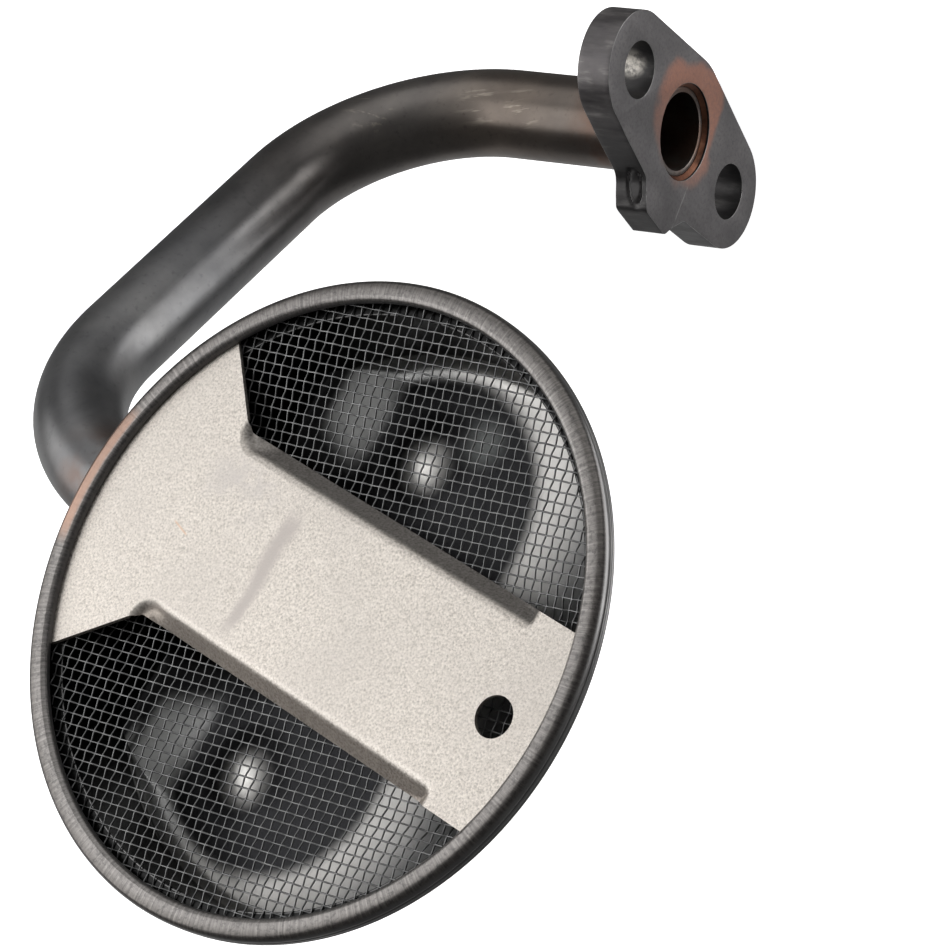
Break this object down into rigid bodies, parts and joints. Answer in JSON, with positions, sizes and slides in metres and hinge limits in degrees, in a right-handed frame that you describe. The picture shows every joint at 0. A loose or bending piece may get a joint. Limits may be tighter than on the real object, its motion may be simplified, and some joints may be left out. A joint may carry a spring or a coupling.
{
  "type": "oil pickup tube",
  "caption": "Bent steel oil pickup tube with a bolt-on flange at one end and a round strainer cup, with a woven wire screen and a baffle strap, at the other.",
  "frame": {"origin": "middle of the flange's mating face, on the axis of the tube's flange end", "axes": "+X out of the flange face along the bolts, Z along the line of the two bolt holes, with the strainer's mouth facing up"},
  "size_m": [0.1295, 0.1767, 0.096],
  "materials": {
    "tube_steel": "dark oxidised steel, satin",
    "flange_steel": "dark grey plate, matt, edges burnished",
    "copper_braze": "dull copper",
    "cup_steel": "dark oxidised steel, satin",
    "screen_wire": "bright drawn wire",
    "strap_steel": "light warm grey plate, fine matt grain"
  },
  "bodies": {
    "root": {"pickup_tube": "tube_steel", "mounting_flange": "flange_steel", "flange_braze": "copper_braze", "strainer_cup": "cup_steel", "cup_braze": "copper_braze", "wire_screen": "screen_wire", "baffle_strap": "strap_steel"}
  },
  "joints": []
}
